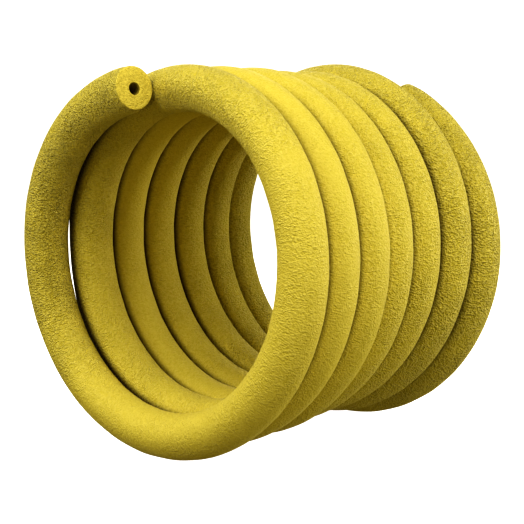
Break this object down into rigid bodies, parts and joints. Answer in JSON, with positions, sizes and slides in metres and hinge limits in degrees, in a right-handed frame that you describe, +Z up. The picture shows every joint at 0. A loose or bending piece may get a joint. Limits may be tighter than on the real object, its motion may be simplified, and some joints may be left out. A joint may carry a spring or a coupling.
{
  "type": "coiled foam float tube",
  "caption": "Long yellow closed-cell foam tube with a rope bore, wound into a close coil of seven turns that stands on its rim.",
  "frame": {"origin": "on the floor under the middle of the coil's bounding box", "axes": "+Y along the coil's axis, from the turn with the front end to the last turn; +Z up; +X across the coil, to the right seen from the front"},
  "size_m": [0.4352, 0.4024, 0.4297],
  "materials": {
    "foam": "matt yellow closed-cell foam with a pebbled extruded skin"
  },
  "bodies": {
    "root": {"foam_tube": "foam"}
  },
  "joints": []
}
